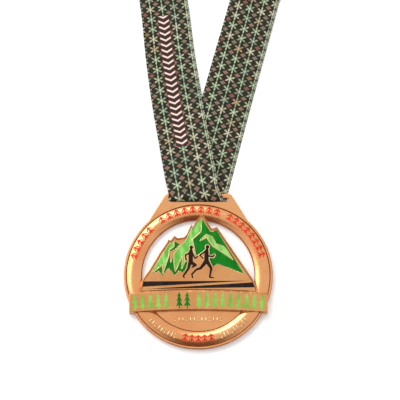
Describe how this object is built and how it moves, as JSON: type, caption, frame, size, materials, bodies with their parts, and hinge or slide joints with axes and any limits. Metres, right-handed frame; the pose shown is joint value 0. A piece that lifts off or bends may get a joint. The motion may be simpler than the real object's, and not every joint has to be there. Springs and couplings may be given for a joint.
{
  "type": "finisher medal",
  "caption": "Round cut-out finisher medal with enamelled mountain, runners and a curved banner, swinging on a printed neck ribbon.",
  "frame": {"origin": "the ring's centre on the medal's flat back, lying on the surface", "axes": "+Y from the ring's centre to the ribbon tab, +Z out of the medal's face, +X to the right as the face is seen"},
  "size_m": [0.1065, 0.2675, 0.0052],
  "materials": {
    "copper_plated_metal": "polished copper plate on die-cast zinc alloy",
    "light_green_enamel": "gloss enamel",
    "dark_green_enamel": "gloss enamel",
    "black_enamel": "gloss enamel",
    "red_enamel": "gloss enamel",
    "printed_ribbon": "printed satin-weave polyester",
    "thread": "twisted polyester thread"
  },
  "bodies": {
    "ribbon": {"front_strap": "printed_ribbon", "back_strap": "printed_ribbon", "slot_turn": "printed_ribbon", "left_fold_stack": "printed_ribbon", "right_fold_stack": "printed_ribbon", "neck_crossing": "printed_ribbon", "seam_stitching": "thread"},
    "medal": {"base_ring": "copper_plated_metal", "mountain_plate": "copper_plated_metal", "banner_plate": "copper_plated_metal", "slope_light_west": "light_green_enamel", "slope_light_main": "light_green_enamel", "slope_light_ridge": "light_green_enamel", "slope_dark_west": "dark_green_enamel", "slope_dark_valley": "dark_green_enamel", "slope_dark_main": "dark_green_enamel", "runner_rear": "black_enamel", "runner_lead": "black_enamel", "road_upper": "black_enamel", "road_lower": "black_enamel", "banner_fir_west_1": "light_green_enamel", "banner_fir_west_2": "light_green_enamel", "banner_fir_west_3": "light_green_enamel", "banner_fir_west_4": "light_green_enamel", "banner_fir_west_5": "light_green_enamel", "banner_fir_east_1": "light_green_enamel", "banner_fir_east_2": "light_green_enamel", "banner_fir_east_3": "light_green_enamel", "banner_fir_east_4": "light_green_enamel", "banner_fir_east_5": "light_green_enamel", "banner_fir_east_6": "light_green_enamel", "banner_fir_east_7": "light_green_enamel", "banner_fir_east_8": "light_green_enamel", "banner_fir_east_9": "light_green_enamel", "banner_fir_middle_1": "dark_green_enamel", "banner_fir_middle_2": "dark_green_enamel", "arc_mark_west_1": "red_enamel", "arc_mark_west_2": "red_enamel", "arc_mark_west_3": "red_enamel", "arc_mark_west_4": "red_enamel", "arc_mark_west_5": "red_enamel", "arc_mark_top_1": "red_enamel", "arc_mark_top_2": "red_enamel", "arc_mark_top_3": "red_enamel", "arc_mark_top_4": "red_enamel", "arc_mark_top_5": "red_enamel", "arc_mark_top_6": "red_enamel", "arc_mark_top_7": "red_enamel", "arc_mark_top_8": "red_enamel", "arc_mark_east_1": "red_enamel", "arc_mark_east_2": "red_enamel", "arc_mark_east_3": "red_enamel", "arc_mark_east_4": "red_enamel", "arc_mark_east_5": "red_enamel", "arc_mark_east_6": "red_enamel", "arc_mark_east_7": "red_enamel", "arc_mark_east_8": "red_enamel", "lower_marks": "red_enamel"}
  },
  "joints": [
    {"name": "medal_swing", "type": "hinge", "parent": "ribbon", "child": "medal", "pos_m": [0, 0.0405, 0.0023], "axis": [-1, 0, 0], "range_deg": [-100, 100]}
  ]
}
